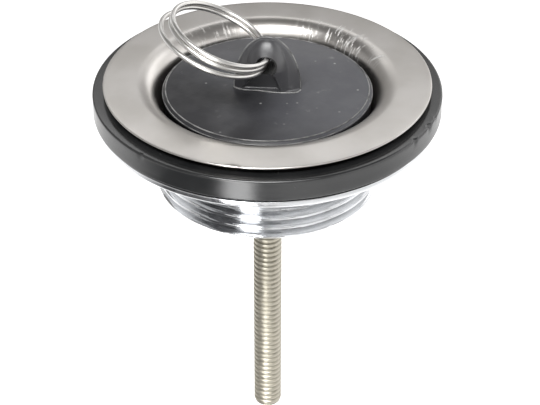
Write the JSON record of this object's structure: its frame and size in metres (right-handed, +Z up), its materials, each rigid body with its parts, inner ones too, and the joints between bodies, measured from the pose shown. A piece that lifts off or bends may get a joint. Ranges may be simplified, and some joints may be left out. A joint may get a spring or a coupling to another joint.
{
  "type": "sink waste with rubber plug",
  "caption": "Sink waste: pressed steel strainer dish, rubber plug on a split ring, thick rubber washer, chromed threaded tail and one long centre screw.",
  "frame": {"origin": "on the axis, at the plane where the flange's turned-down edge sits on the sink's surface", "axes": "+Z up out of the drain along the axis; the ring leans towards -X; the lug's cross hole runs 5 degrees off Y"},
  "size_m": [0.0741, 0.074, 0.1041],
  "materials": {
    "flange_steel": "satin",
    "seal_foam": "matte",
    "plug_rubber": "matte",
    "ring_steel": "bright",
    "screw_steel": "bright",
    "washer_rubber": "satin",
    "tail_chrome": "mirror",
    "nut_brass": "turned"
  },
  "bodies": {
    "dish": {"strainer_dish": "flange_steel", "flange_seal": "seal_foam"},
    "plug": {"rubber_plug": "plug_rubber"},
    "ring": {"split_ring": "ring_steel"},
    "screw": {"centre_screw": "screw_steel"},
    "tail": {"threaded_tail": "tail_chrome", "captive_nut": "nut_brass", "rim_washer": "washer_rubber"}
  },
  "joints": [
    {"name": "plug_lift", "type": "slide", "parent": "dish", "child": "plug", "axis": [0, 0, 1], "range_m": [0, 0.05]},
    {"name": "ring_swing", "type": "hinge", "parent": "plug", "child": "ring", "pos_m": [0, 0, 0.0064], "axis": [0.0872, 0.9962, 0], "range_deg": [-31, 164]},
    {"name": "screw_turn", "type": "hinge", "parent": "dish", "child": "screw", "pos_m": [0, 0, 0], "axis": [0, 0, 1], "range_deg": [0, 14400]},
    {"name": "tail_draw", "type": "slide", "parent": "dish", "child": "tail", "axis": [0, 0, -1], "range_m": [0, 0.0508]}
  ],
  "couplings": [
    {"joint": "screw_turn", "follows": "tail_draw", "rad_per_m": 4947.4}
  ]
}
